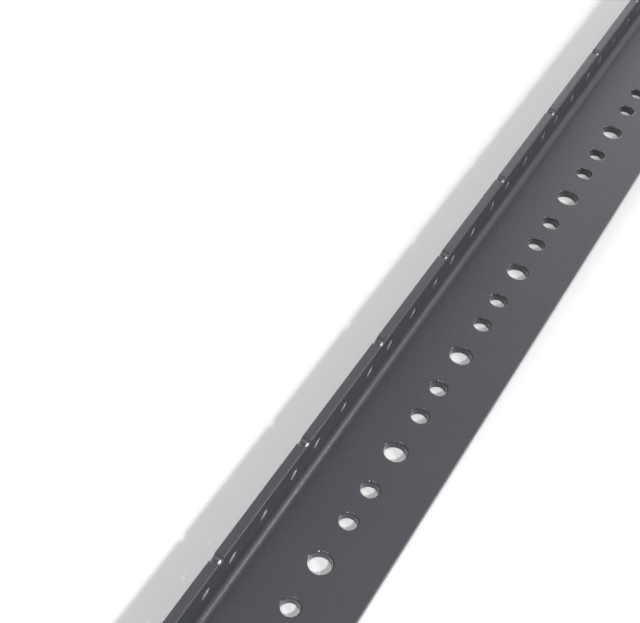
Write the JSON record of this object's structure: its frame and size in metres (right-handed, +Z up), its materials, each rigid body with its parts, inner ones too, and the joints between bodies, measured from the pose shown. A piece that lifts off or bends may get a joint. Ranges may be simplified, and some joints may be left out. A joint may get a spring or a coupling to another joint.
{
  "type": "rack mounting rail",
  "caption": "Folded steel L-section rack rail with tapped equipment holes on the narrow flange and plain holes along the side flange.",
  "frame": {"origin": "middle of the rail's underside, where the side flange rests", "axes": "+X along the rail, +Y from the equipment flange towards the side flange's free edge, +Z up, the way the narrow equipment flange stands"},
  "size_m": [0.5334, 0.0382, 0.0175],
  "materials": {
    "powder_coated_steel": "satin black powder coating with a fine texture"
  },
  "bodies": {
    "root": {"rack_rail": "powder_coated_steel"}
  },
  "joints": []
}
